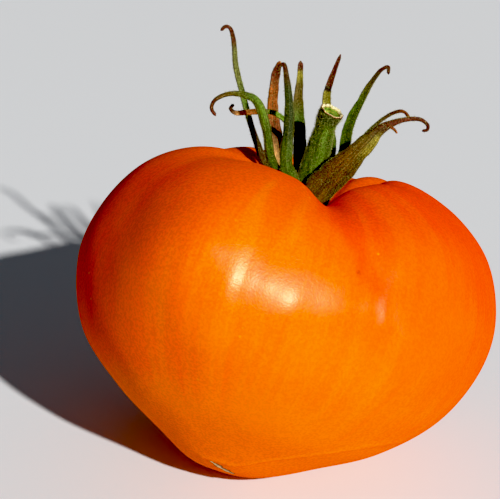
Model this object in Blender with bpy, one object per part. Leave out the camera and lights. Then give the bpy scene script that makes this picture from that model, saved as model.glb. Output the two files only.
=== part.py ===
"""An orange oxheart tomato with its green calyx and cut stalk, lying tipped back on its own shoulder.

Units are metres, +Z is up and the origin is the middle of the footprint. The fruit has a frame of
its own: a straight spine from the blossom tip, at that frame's origin, up to the floor of the stem
pit. In it +X is the fruit's right, +Y its back and +Z its stem end, and azimuths turn from right
towards back. The whole frame then leans right and back, and the low side is flattened where the
fruit rests. Shapes are given in millimetres and scaled once, as their points are placed.
"""

import math
from dataclasses import dataclass

import bmesh
import bpy
from mathutils import Euler, Vector

MM = 0.001
NAME = "heart_of_orange_tomato"

LEAN_RIGHT = math.radians(17.7)
LEAN_BACK = math.radians(24.0)
REST_DEPTH = 0.8 * MM
TOUCH_GAP = 0.3

# The outline of the fruit on each side of the spine, as (radius, height) from tip to stem pit.
PIT_FLOOR = 61.5
SIDES = {
    "right": [
        (0.0, 0.0), (9.0, 1.4), (20.5, 7.3), (33.0, 15.0), (43.7, 26.2), (49.3, 40.0),
        (49.0, 53.0), (42.6, 65.2), (31.0, 73.2), (17.5, 75.6), (8.5, 67.0), (0.0, PIT_FLOOR),
    ],
    "back": [
        (0.0, 0.0), (9.0, 1.6), (20.0, 6.2), (31.0, 15.3), (38.5, 27.0), (41.0, 40.0),
        (39.5, 54.5), (34.0, 66.5), (25.0, 77.2), (15.5, 74.8), (8.0, 65.8), (0.0, PIT_FLOOR),
    ],
    "left": [
        (0.0, 0.0), (8.0, 0.8), (17.0, 5.4), (28.6, 12.0), (40.2, 22.0), (46.0, 37.0),
        (44.5, 50.0), (38.5, 61.5), (28.5, 68.8), (17.0, 70.4), (8.0, 65.3), (0.0, PIT_FLOOR),
    ],
    "front": [
        (0.0, 0.0), (8.0, 1.5), (18.0, 7.4), (29.0, 15.2), (37.2, 26.0), (40.4, 38.0),
        (40.2, 50.0), (36.6, 60.2), (26.0, 66.2), (15.0, 68.0), (7.5, 64.2), (0.0, PIT_FLOOR),
    ],
}
SIDE_AZIMUTHS = {"right": 0.0, "back": 90.0, "left": 180.0, "front": 270.0}

# The furrows between the lobes, as (azimuth in degrees, depth, half width in degrees).
FURROWS = [
    (-78.0, 4.0, 14.0), (-150.0, 1.5, 14.0), (160.0, 1.2, 16.0), (112.0, 2.5, 15.0),
    (68.0, 3.4, 15.0), (22.0, 2.4, 16.0), (-20.0, 0.9, 13.0),
]

# The low swellings of the front, as (height, azimuth, half width in degrees on the left and on the
# right, share, half length as a share). The first is the broad rib beside the deep furrow.
SWELLINGS = [
    (6.23, -116.8, 21.4, 10.1, 0.491, 0.134), (1.81, -102.4, 22.1, 8.5, 0.564, 0.065),
    (4.59, -103.1, 9.7, 14.6, 0.421, 0.107), (2.04, -81.7, 12.6, 14.6, 0.509, 0.182),
    (-1.27, -63.1, 5.9, 4.5, 0.618, 0.118), (1.30, -135.8, 18.2, 25.1, 0.246, 0.155),
    (2.00, -45.7, 12.4, 13.1, 0.449, 0.070),
]

# Shares of the way from tip to pit: where furrows begin and are full, and where the wall turns over.
FURROW_START, FURROW_FULL = 0.36, 0.70
FURROW_FADE_START, FURROW_FADE_END, FURROW_FADE = 0.86, 1.0, 0.55
SHOULDER_START, SHOULDER_END = 0.55, 0.80
FURROW_RADIUS, PIT_RADIUS = 30.0, 8.0
FRUIT_SEGMENTS, FRUIT_RINGS = 64, 44

# The seat of the calyx: a short cone, narrow side down, just above the floor of the pit.
SEAT_CENTRE = (-0.6, 0.0)
SEAT_BOTTOM, SEAT_TOP = 1.2, 3.3
SEAT_BOTTOM_RADIUS, SEAT_TOP_RADIUS = 2.0, 5.4
SEAT_SIDES = 24

# Sepals: a thin blade, cupped towards its inner face.
BLADE_ROOT_THICKNESS, BLADE_TIP_THICKNESS = 1.1, 0.65
BLADE_EDGE = 0.6
BLADE_CUP = 0.16
BLADE_STATIONS = 22
BLADE_POINTS_ACROSS = (-1.0, -0.4, 0.4, 1.0)


@dataclass(frozen=True)
class Sepal:
    """One sepal: the azimuth its outer face looks to, and its route from the pit floor.

    A route's points are (right, back, up, blade width).
    """

    name: str
    outer_face: float
    route: tuple


SEPALS = [
    Sepal("tall_left", 125.0, (
        (-4.4, 1.6, 2.8, 3.0), (-7.6, 4.0, 6.8, 2.0), (-12.2, 7.0, 9.2, 1.8), (-15.5, 9.0, 13.3, 1.7),
        (-18.6, 10.0, 17.7, 1.5), (-22.3, 10.0, 23.5, 1.5), (-25.4, 9.0, 28.6, 1.4),
        (-27.4, 8.0, 33.5, 1.2), (-29.0, 7.0, 36.2, 0.9), (-30.3, 6.2, 36.4, 0.8), (-31.0, 5.5, 35.1, 0.7),
    )),
    Sepal("arched_left", 232.0, (
        (-3.7, -2.6, 2.9, 3.0), (-7.6, -6.0, 6.1, 2.7), (-11.1, -8.5, 9.6, 2.5), (-13.7, -9.5, 15.0, 2.4),
        (-17.3, -10.0, 20.2, 2.1), (-20.4, -10.0, 21.3, 1.5), (-24.2, -9.5, 20.5, 1.1),
        (-26.7, -9.0, 18.4, 0.9), (-27.0, -8.5, 16.3, 0.8), (-25.6, -8.0, 15.0, 0.7),
    )),
    Sepal("curled_left", 150.0, (
        (-3.6, 3.0, 2.8, 2.4), (-6.4, 4.4, 7.0, 2.0), (-7.6, 4.6, 12.0, 1.6), (-9.6, 3.4, 17.4, 1.3),
        (-12.9, -0.5, 20.1, 1.1), (-16.5, -1.5, 19.5, 1.3), (-19.5, -2.0, 18.3, 1.3),
        (-21.8, -2.3, 17.4, 1.0), (-23.1, -2.8, 17.9, 0.8), (-22.7, -3.5, 19.0, 0.7),
    )),
    Sepal("dry_back", 110.0, (
        (-2.6, 4.0, 2.8, 3.2), (-6.2, 6.4, 8.6, 3.2), (-9.7, 8.0, 12.4, 3.1), (-12.1, 9.0, 17.1, 3.0),
        (-14.4, 9.0, 22.3, 2.6), (-15.3, 8.5, 26.1, 2.3), (-15.9, 8.0, 29.5, 2.1), (-15.8, 7.0, 32.6, 1.2),
    )),
    Sepal("front_left", 262.0, (
        (-2.0, -4.1, 2.9, 3.8), (-5.4, -8.0, 6.7, 3.5), (-7.2, -9.5, 9.2, 3.0), (-8.3, -10.0, 13.2, 2.6),
        (-9.4, -9.7, 18.1, 2.3), (-11.0, -9.0, 23.2, 1.9), (-13.0, -8.0, 27.9, 1.3),
        (-14.4, -7.2, 30.6, 1.0), (-15.3, -6.8, 30.0, 0.8), (-15.0, -6.5, 28.8, 0.7),
    )),
    Sepal("blunt_back", 95.0, (
        (-0.6, 4.9, 2.8, 3.2), (-3.6, 6.6, 9.9, 3.3), (-5.5, 7.5, 15.5, 3.1), (-7.3, 8.0, 20.8, 2.6),
        (-9.0, 7.5, 25.3, 2.3), (-10.0, 7.0, 29.6, 1.6), (-11.2, 6.2, 34.0, 1.1),
    )),
    Sepal("spiked_back", 80.0, (
        (1.4, 4.6, 2.8, 3.2), (1.9, 7.0, 12.6, 3.3), (1.6, 8.5, 16.5, 3.1), (0.1, 9.0, 21.0, 2.7),
        (-2.0, 9.0, 25.7, 2.3), (-3.0, 8.5, 29.0, 1.8), (-3.1, 8.0, 32.4, 1.4), (-2.8, 7.0, 38.4, 0.7),
    )),
    Sepal("hooked_right", 50.0, (
        (3.0, 3.0, 2.8, 2.8), (4.5, 5.0, 12.1, 2.3), (5.0, 7.0, 17.0, 2.3), (4.4, 8.0, 21.9, 2.2),
        (4.5, 8.0, 25.8, 2.0), (5.1, 7.5, 29.2, 1.6), (5.7, 7.0, 32.8, 1.3), (6.4, 6.5, 35.4, 1.1),
        (7.3, 6.0, 37.7, 0.9), (8.6, 5.5, 38.8, 0.8), (9.1, 5.0, 37.2, 0.7),
    )),
    Sepal("thin_right", 20.0, (
        (3.9, 0.6, 2.8, 2.4), (5.2, 0.2, 11.3, 1.6), (6.8, 1.0, 17.5, 1.2), (8.4, 2.0, 22.3, 1.1),
        (10.3, 2.5, 25.7, 1.0), (12.0, 2.5, 27.9, 0.9), (13.7, 2.0, 29.3, 0.8), (15.2, 1.5, 29.6, 0.7),
        (16.6, 1.0, 28.6, 0.7),
    )),
    Sepal("broad_front", 275.0, (
        (0.9, -4.8, 2.8, 5.4), (1.8, -6.8, 6.6, 6.6), (3.6, -9.5, 10.0, 6.6), (5.6, -11.5, 13.5, 5.6),
        (7.1, -12.5, 16.6, 4.6), (8.7, -13.0, 19.6, 3.8), (10.1, -13.0, 22.5, 2.6), (12.2, -12.5, 24.8, 1.6),
        (14.9, -12.0, 26.7, 1.1), (17.9, -11.5, 27.8, 0.9), (20.0, -11.0, 27.3, 0.8),
        (20.4, -10.7, 26.2, 0.7), (19.4, -10.5, 25.6, 0.7),
    )),
]

# The stalk: its route from the seat up to the cut, as (right, back, up, radius).
STALK_ROUTE = (
    (-0.7, 0.0, SEAT_TOP + TOUCH_GAP, 3.1), (-0.7, 0.0, 5.0, 3.1), (-0.8, -0.6, 8.0, 3.2),
    (-1.1, -2.2, 12.4, 2.9), (-1.3, -4.4, 16.3, 2.6), (-1.4, -6.2, 19.9, 2.2), (-1.4, -7.2, 21.9, 2.5),
    (-1.0, -8.3, 23.8, 2.75),
)
STALK_STATIONS = 18
STALK_BEVEL = 8
CUT_RIM = 0.7
CUT_DEPTH = 0.8
WELD = 0.00001

CUTTER_SIZE = (0.2, 0.2, 0.04)


def catmull_rom(points, share):
    """The value a share of the way along a smooth curve through points, which are equal tuples."""
    place = min(max(share, 0.0), 1.0) * (len(points) - 3)
    start = min(int(place), len(points) - 4)
    f = place - start
    before, first, second, after = points[start:start + 4]
    return tuple(
        0.5 * (2 * b + (c - a) * f + (2 * a - 5 * b + 4 * c - d) * f ** 2
               + (3 * b - a - 3 * c + d) * f ** 3)
        for a, b, c, d in zip(before, first, second, after)
    )


def open_curve(points):
    """The points of an open curve with one more past each end, in line with the last two."""
    before = tuple(2 * a - b for a, b in zip(points[0], points[1]))
    after = tuple(2 * a - b for a, b in zip(points[-1], points[-2]))
    return [before, *points, after]


def side_curve(points):
    """The points of a side's outline with its neighbours mirrored across the spine at both ends."""
    tip_radius, tip_height = points[1]
    pit_radius, pit_height = points[-2]
    return [(-tip_radius, tip_height), *points, (-pit_radius, pit_height)]


SIDE_CURVES = {side: side_curve(points) for side, points in SIDES.items()}


def ease(value):
    """A smooth step from 0 to 1 as value goes from 0 to 1."""
    value = min(max(value, 0.0), 1.0)
    return value * value * (3 - 2 * value)


def apart(azimuth, other):
    """The signed angle in degrees between two azimuths, from -180 to 180."""
    return (azimuth - other + 180.0) % 360.0 - 180.0


def fruit_point(azimuth, share):
    """A point of the skin at an azimuth in degrees, a share of the way from the tip to the pit."""
    radius = height = 0.0
    for side, curve in SIDE_CURVES.items():
        turn = apart(azimuth, SIDE_AZIMUTHS[side])
        if abs(turn) < 90.0:
            weight = math.cos(math.radians(turn)) ** 2
            side_radius, side_height = catmull_rom(curve, share)
            radius += weight * side_radius
            height += weight * side_height
    over = ease((share - SHOULDER_START) / (SHOULDER_END - SHOULDER_START))
    grown = ease((share - FURROW_START) / (FURROW_FULL - FURROW_START))
    fade = ease((share - FURROW_FADE_START) / (FURROW_FADE_END - FURROW_FADE_START))
    grown *= 1 - FURROW_FADE * fade
    cut = sum(
        depth * grown * math.exp(-(apart(azimuth, centre) / half_width) ** 2)
        for centre, depth, half_width in FURROWS
    )
    for swelling, centre, left, right, middle, half_length in SWELLINGS:
        turn = apart(azimuth, centre)
        across = turn / (left if turn < 0 else right)
        cut -= swelling * math.exp(-across ** 2 - ((share - middle) / half_length) ** 2)
    radius -= cut * (1 - over) * min(radius / FURROW_RADIUS, 1.0)
    height -= cut * over * min(radius / PIT_RADIUS, 1.0)
    angle = math.radians(azimuth)
    return Vector((radius * math.cos(angle), radius * math.sin(angle), height)) * MM


def material(name, colour, roughness):
    """A plain Principled material for one sub-part."""
    made = bpy.data.materials.new(name)
    made.use_nodes = True
    shader = made.node_tree.nodes["Principled BSDF"]
    shader.inputs["Base Color"].default_value = (*colour, 1.0)
    shader.inputs["Roughness"].default_value = roughness
    shader.inputs["Metallic"].default_value = 0.0
    return made


def new_object(name, mesh, collection):
    """An object for a mesh, linked to a collection."""
    made = bpy.data.objects.new(name, mesh)
    collection.objects.link(made)
    return made


def mesh_from(shape, name):
    """A mesh made from a bmesh, which is freed."""
    mesh = bpy.data.meshes.new(name)
    shape.to_mesh(mesh)
    shape.free()
    return mesh


def evaluated_mesh(made):
    """The mesh of an object with its modifiers applied."""
    bpy.context.view_layer.update()
    return bpy.data.meshes.new_from_object(made.evaluated_get(bpy.context.evaluated_depsgraph_get()))


def make_fruit(collection):
    """The whole berry: a sphere's points moved onto the lobed outline."""
    shape = bmesh.new()
    bmesh.ops.create_uvsphere(shape, u_segments=FRUIT_SEGMENTS, v_segments=FRUIT_RINGS, radius=1.0)
    for vert in shape.verts:
        azimuth = math.degrees(math.atan2(vert.co.y, vert.co.x))
        share = math.acos(min(max(-vert.co.z, -1.0), 1.0)) / math.pi
        vert.co = fruit_point(azimuth, share)
    fruit = new_object("fruit", mesh_from(shape, "fruit"), collection)
    fruit.data.materials.append(material("tomato_skin", (0.95, 0.21, 0.006), 0.3))
    return fruit


def make_blade(sepal, collection):
    """One sepal, lofted along its route from the seat of the calyx to its curled tip."""
    curve = open_curve(sepal.route)
    stations = [catmull_rom(curve, i / (BLADE_STATIONS - 1)) for i in range(BLADE_STATIONS)]
    face = math.radians(sepal.outer_face)
    outward = Vector((math.cos(face), math.sin(face), 0.0))
    shape = bmesh.new()
    rings = []
    for i, (right, back, up, width) in enumerate(stations):
        ahead, behind = stations[min(i + 1, BLADE_STATIONS - 1)], stations[max(i - 1, 0)]
        along = (Vector(ahead[:3]) - Vector(behind[:3])).normalized()
        across = along.cross(outward).normalized()
        normal = across.cross(along)
        share = i / (BLADE_STATIONS - 1)
        thick = BLADE_ROOT_THICKNESS + (BLADE_TIP_THICKNESS - BLADE_ROOT_THICKNESS) * ease(2 * share)
        centre = Vector((right, back, up))
        ring = []
        for face_side, places in ((1, BLADE_POINTS_ACROSS), (-1, reversed(BLADE_POINTS_ACROSS))):
            for place in places:
                lift = face_side * thick / 2 * (1 - (1 - BLADE_EDGE) * place ** 2)
                lift -= BLADE_CUP * width * place ** 2
                ring.append(shape.verts.new((centre + across * place * width / 2 + normal * lift) * MM))
        rings.append(ring)
    for low, high in zip(rings, rings[1:]):
        for j, corner in enumerate(low):
            following = (j + 1) % len(low)
            shape.faces.new((corner, low[following], high[following], high[j]))
    shape.faces.new(reversed(rings[0]))
    shape.faces.new(rings[-1])
    bmesh.ops.recalc_face_normals(shape, faces=shape.faces)
    return new_object(sepal.name, mesh_from(shape, sepal.name), collection)


def make_calyx(collection):
    """The star of sepals, grown in one piece with the small cone that seats it in the pit."""
    shape = bmesh.new()
    bmesh.ops.create_cone(
        shape, cap_ends=True, segments=SEAT_SIDES, radius1=SEAT_BOTTOM_RADIUS * MM,
        radius2=SEAT_TOP_RADIUS * MM, depth=(SEAT_TOP - SEAT_BOTTOM) * MM,
    )
    centre = Vector((*SEAT_CENTRE, (SEAT_TOP + SEAT_BOTTOM) / 2)) * MM
    bmesh.ops.translate(shape, verts=shape.verts, vec=centre)
    calyx = new_object("calyx", mesh_from(shape, "calyx"), collection)

    blades = bpy.data.collections.new("sepals")
    collection.children.link(blades)
    for sepal in SEPALS:
        make_blade(sepal, blades)
    union = calyx.modifiers.new("grown together", "BOOLEAN")
    union.operation = "UNION"
    union.operand_type = "COLLECTION"
    union.collection = blades
    union.solver = "EXACT"
    calyx.data = evaluated_mesh(calyx)
    calyx.modifiers.clear()
    for blade in list(blades.objects):
        bpy.data.objects.remove(blade)
    bpy.data.collections.remove(blades)
    calyx.data.materials.clear()
    calyx.data.materials.append(material("sepal_green", (0.12, 0.21, 0.03), 0.7))
    return calyx


def make_stalk(collection):
    """The stub of fruit stalk: a tube that narrows, then swells to its cupped cut end."""
    outline = bpy.data.curves.new("stalk", "CURVE")
    outline.dimensions = "3D"
    outline.bevel_depth = MM
    outline.bevel_resolution = STALK_BEVEL
    outline.use_fill_caps = True
    curve = open_curve(STALK_ROUTE)
    spline = outline.splines.new("POLY")
    spline.points.add(STALK_STATIONS - 1)
    for i, point in enumerate(spline.points):
        right, back, up, radius = catmull_rom(curve, i / (STALK_STATIONS - 1))
        point.co = (right * MM, back * MM, up * MM, 1.0)
        point.radius = radius
    tube = new_object("stalk_route", outline, collection)
    shape = bmesh.new()
    shape.from_mesh(evaluated_mesh(tube))
    bpy.data.objects.remove(tube)
    bmesh.ops.remove_doubles(shape, verts=shape.verts, dist=WELD)
    cut = max(shape.faces, key=lambda face: face.calc_center_median().z)
    cut_normal = cut.normal.copy()
    bmesh.ops.inset_individual(shape, faces=[cut], thickness=CUT_RIM * MM)
    bmesh.ops.translate(shape, verts=cut.verts, vec=-cut_normal * CUT_DEPTH * MM)
    stalk = new_object("stalk", mesh_from(shape, "stalk"), collection)
    stalk.data.materials.append(material("stalk_green", (0.10, 0.19, 0.03), 0.75))
    return stalk


def lay_down(fruit, calyx, stalk, collection):
    """Leans the fruit's frame with its three pieces and sets its low side into the surface."""
    lean = Euler((0.0, LEAN_RIGHT, 0.0)).to_matrix()
    lean = Euler((-LEAN_BACK, 0.0, 0.0)).to_matrix() @ lean
    skin = [lean @ vert.co for vert in fruit.data.vertices]
    low = Vector([min(point[axis] for point in skin) for axis in range(3)])
    high = Vector([max(point[axis] for point in skin) for axis in range(3)])
    spine = bpy.data.objects.new("spine", None)
    collection.objects.link(spine)
    spine.rotation_euler = lean.to_euler()
    spine.location = (-(low.x + high.x) / 2, -(low.y + high.y) / 2, -low.z - REST_DEPTH)
    fruit.parent = spine
    for piece in (calyx, stalk):
        piece.parent = spine
        piece.location = (0.0, 0.0, PIT_FLOOR * MM)


def flatten_rest(fruit, cutters):
    """Cuts the low side of the fruit flat at the surface it lies on."""
    shape = bmesh.new()
    bmesh.ops.create_cube(shape, size=1.0)
    bmesh.ops.scale(shape, verts=shape.verts, vec=CUTTER_SIZE)
    bmesh.ops.translate(shape, verts=shape.verts, vec=(0.0, 0.0, -CUTTER_SIZE[2] / 2))
    cutter = new_object("rest_cut", mesh_from(shape, "rest_cut"), cutters)
    cutter.hide_render = True
    cutter.display_type = "WIRE"
    cut = fruit.modifiers.new("flat spot", "BOOLEAN")
    cut.operation = "DIFFERENCE"
    cut.object = cutter
    cut.solver = "EXACT"


def main():
    """Builds the fruit, its calyx and its stalk, and lays them down."""
    for old in list(bpy.data.objects):
        bpy.data.objects.remove(old)
    pieces = bpy.data.collections.new(NAME)
    cutters = bpy.data.collections.new("cutters")
    for collection in (pieces, cutters):
        bpy.context.scene.collection.children.link(collection)
    fruit = make_fruit(pieces)
    calyx = make_calyx(pieces)
    stalk = make_stalk(pieces)
    lay_down(fruit, calyx, stalk, pieces)
    flatten_rest(fruit, cutters)
    for piece in (fruit, calyx, stalk):
        piece.data.shade_smooth()
        piece.data.set_sharp_from_angle(angle=math.radians(40.0))


main()
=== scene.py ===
"""The looks of an orange oxheart tomato with its hairy calyx and the cut stub of its stalk.

Places in the row frame are in metres: +X is right in the camera's picture, +Y is away from the
camera and +Z is up. Shapes are given in millimetres in the fruit's own frame, as the construction
has them: a straight spine from the blossom tip up to the floor of the stem pit, with +X the fruit's
right, +Y its back and +Z its stem end. Azimuths are in degrees and turn from the fruit's right
towards its back. A share is how far a point is from the tip, 0, to the pit, 1.
"""

import logging
import math
from dataclasses import dataclass, field
from enum import Enum

import bmesh
import bpy
import numpy as np
from mathutils import Euler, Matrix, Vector


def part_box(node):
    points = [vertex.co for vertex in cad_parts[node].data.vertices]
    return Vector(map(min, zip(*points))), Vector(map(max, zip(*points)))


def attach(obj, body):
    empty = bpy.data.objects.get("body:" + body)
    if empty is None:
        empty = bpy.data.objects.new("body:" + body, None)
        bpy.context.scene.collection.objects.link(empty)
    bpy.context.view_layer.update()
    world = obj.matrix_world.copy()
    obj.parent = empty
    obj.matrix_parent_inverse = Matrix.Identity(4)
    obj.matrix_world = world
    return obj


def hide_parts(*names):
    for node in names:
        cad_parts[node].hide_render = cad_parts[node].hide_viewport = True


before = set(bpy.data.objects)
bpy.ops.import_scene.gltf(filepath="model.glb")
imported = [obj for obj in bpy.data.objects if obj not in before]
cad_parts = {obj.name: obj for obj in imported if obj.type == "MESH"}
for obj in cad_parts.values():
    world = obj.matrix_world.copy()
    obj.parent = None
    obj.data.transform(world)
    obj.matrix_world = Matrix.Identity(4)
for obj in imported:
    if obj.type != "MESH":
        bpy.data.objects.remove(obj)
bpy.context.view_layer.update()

log = logging.getLogger("oxheart_tomato")

MM = 0.001
ROOT = "root"
FULL_TURN = 360.0

Array = np.ndarray
Pair = tuple[float, float]
Span = Pair
Triple = tuple[float, float, float]
Colour = Triple
Route = tuple[tuple[float, float, float, float], ...]


class Tone(Enum):
    """The colours of calyx, stalk and scar, as linear red, green and blue."""

    FRESH = (0.130, 0.225, 0.026)
    LEAF = (0.068, 0.120, 0.017)
    SAGE = (0.125, 0.135, 0.036)
    DEEP = (0.030, 0.046, 0.014)
    OLIVE = (0.100, 0.070, 0.015)
    STRAW = (0.24, 0.21, 0.030)
    BRONZE = (0.135, 0.056, 0.012)
    UMBER = (0.070, 0.030, 0.012)
    RUST = (0.27, 0.078, 0.018)
    RUSSET = (0.090, 0.022, 0.012)
    CHAR = (0.026, 0.016, 0.012)
    TAN = (0.50, 0.25, 0.085)
    CREAM = (0.74, 0.62, 0.34)


def ease(values: Array | float) -> Array:
    """A smooth step.

    Args:
        values: Any numbers.
    Returns:
        0 where values are below 0, 1 where they are above 1, and an S-curve between.
    """
    held = np.clip(values, 0.0, 1.0)
    return held * held * (3.0 - 2.0 * held)


def through(values: Array, *spans: Span) -> Array:
    """How far values are through every one of some spans.

    Args:
        values: Any numbers.
        *spans: Where each span starts and ends. One that runs down counts the other way.
    Returns:
        1 where values are past all the spans, 0 where they are before any of them, eased between.
    """
    return math.prod(ease((values - start) / (end - start)) for start, end in spans)


def ripples(angles: Array, along: Array | float, waves: tuple) -> Array:
    """The product of some waves, each (turns round, radians along, phase)."""
    return math.prod(np.sin(n * angles + m * along + phase) for n, m, phase in waves)


def swell(values: Array | float) -> Array:
    """A bell of height 1 at 0, which has fallen to about a third at 1 and -1."""
    return np.exp(-np.square(values))


def apart(azimuth: Array | float, other: Array | float) -> Array:
    """The signed angle in degrees from one azimuth to another, from -180 to 180."""
    return (azimuth - other + FULL_TURN / 2) % FULL_TURN - FULL_TURN / 2


def catmull_rom(points: Array, shares: Array) -> Array:
    """Values along a smooth curve.

    Args:
        points: The curve's points, one a row, with one more past each end.
        shares: Shares of the way along, from 0 to 1.
    Returns:
        One row of values for each share.
    """
    places = np.clip(shares, 0.0, 1.0) * (len(points) - 3)
    starts = np.minimum(places.astype(int), len(points) - 4)
    f = (places - starts)[..., None]
    before, first, second, after = (points[starts + i] for i in range(4))
    return 0.5 * (
        2 * first + (second - before) * f
        + (2 * before - 5 * first + 4 * second - after) * f ** 2
        + (3 * first - before - 3 * second + after) * f ** 3
    )


def open_curve(points: Route) -> Array:
    """The points of an open curve with one more past each end, in line with the last two."""
    rows = np.array(points, float)
    return np.vstack([2 * rows[0] - rows[1], rows, 2 * rows[-1] - rows[-2]])


def turns(count: int) -> Array:
    """Angles in radians that divide a full turn evenly, as one row."""
    return np.linspace(0.0, 2 * math.pi, count, endpoint=False)[None, :]


def stand(name: str, data: bpy.types.ID) -> bpy.types.Object:
    """A new object in the scene that shows a mesh, a light or a camera."""
    made = bpy.data.objects.new(name, data)
    bpy.context.scene.collection.objects.link(made)
    return made


def unit(vectors: Array) -> Array:
    """Vectors of the same directions with length 1."""
    return vectors / np.linalg.norm(vectors, axis=-1, keepdims=True)


def blend_tones(stops: tuple[tuple[float, Tone], ...], shares: Array) -> Array:
    """Colours along a row of named tones.

    Args:
        stops: Places from 0 to 1 in rising order, each with its tone.
        shares: The places to read.
    Returns:
        Red, green and blue for each share, on a new last axis.
    """
    places = [place for place, _ in stops]
    colours = np.array([tone.value for _, tone in stops])
    return np.stack([np.interp(shares, places, colours[:, i]) for i in range(3)], -1)


@dataclass
class Spine:
    """The fruit's own frame, which leans right and back in the row frame."""

    lean_right: float = 17.7
    lean_back: float = 24.0
    foot: Array = field(default_factory=lambda: np.zeros(3))

    @property
    def turn(self) -> Array:
        """The rotation from the fruit's frame to the row frame."""
        right = Euler((0.0, math.radians(self.lean_right), 0.0)).to_matrix()
        back = Euler((-math.radians(self.lean_back), 0.0, 0.0)).to_matrix()
        return np.array(back @ right)

    def settle(self, skin: Array) -> None:
        """Stands the frame so that the skin fills the construction's fruit.

        Args:
            skin: Points of the bare skin in the fruit's frame.
        """
        low, high = (np.array(corner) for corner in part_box("fruit"))
        leaned = skin.reshape(-1, 3) @ self.turn.T * MM
        self.foot = (low + high - leaned.min(0) - leaned.max(0)) / 2
        self.foot[2] = high[2] - leaned[:, 2].max()

    def place(self, points: Array) -> Array:
        """Points of the fruit's frame in the row frame, in metres."""
        return points @ self.turn.T * MM + self.foot


class Shell:
    """Closed lofts gathered into one mesh, with values for its material on every vertex."""

    def __init__(self) -> None:
        """Starts an empty shell."""
        self.points: list[Array] = []
        self.faces: list[list[int]] = []
        self.fields: dict[str, list[Array]] = {}
        self.count = 0

    def add(self, rings: Array, start: Array, end: Array, **fields: Array) -> None:
        """Adds a skin through rings of points, closed by a point at each end.

        Args:
            rings: Points as (rings, points round each, 3).
            start: The point before the first ring.
            end: The point past the last ring.
            **fields: Values as (rings, points round each, width), by attribute name.
        """
        stations, around = rings.shape[:2]
        grid = self.count + 1 + np.arange(stations * around).reshape(stations, around)
        turned = np.roll(grid, -1, 1)
        first, last = self.count, self.count + 1 + stations * around
        quads = np.stack([grid[:-1], turned[:-1], turned[1:], grid[1:]], -1)
        self.faces += quads.reshape(-1, 4).tolist()
        self.faces += [[first, b, a] for a, b in zip(grid[0].tolist(), turned[0].tolist())]
        self.faces += [[a, b, last] for a, b in zip(grid[-1].tolist(), turned[-1].tolist())]
        self.points += [np.atleast_2d(start), rings.reshape(-1, 3), np.atleast_2d(end)]
        for name, values in fields.items():
            width = values.shape[-1]
            poles = (values[0].mean(0, keepdims=True), values[-1].mean(0, keepdims=True))
            stored = self.fields.setdefault(name, [])
            stored += [poles[0], values.reshape(-1, width), poles[1]]
        self.count = last + 1

    def build(self, name: str, spine: Spine, rest_height: float | None = None) -> bpy.types.Object:
        """Makes the object.

        Args:
            name: The piece's name.
            spine: The frame that the points are in.
            rest_height: The height in metres below which nothing reaches, if there is one.
        Returns:
            The linked object, with its place in its mesh.
        """
        placed = spine.place(np.vstack(self.points))
        if rest_height is not None:
            placed[:, 2] = np.maximum(placed[:, 2], rest_height)
        mesh = bpy.data.meshes.new(name)
        mesh.from_pydata(placed.tolist(), [], self.faces)
        for title, parts in self.fields.items():
            values = np.vstack(parts).astype(np.float32)
            kind, slot = {1: ("FLOAT", "value"), 3: ("FLOAT_VECTOR", "vector")}[values.shape[1]]
            stored = mesh.attributes.new(title, kind, "POINT")
            stored.data.foreach_set(slot, values.ravel())
        shape = bmesh.new()
        shape.from_mesh(mesh)
        bmesh.ops.recalc_face_normals(shape, faces=shape.faces)
        shape.to_mesh(mesh)
        shape.free()
        mesh.shade_smooth()
        return stand(name, mesh)


Value = bpy.types.NodeSocket | float | tuple


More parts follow.
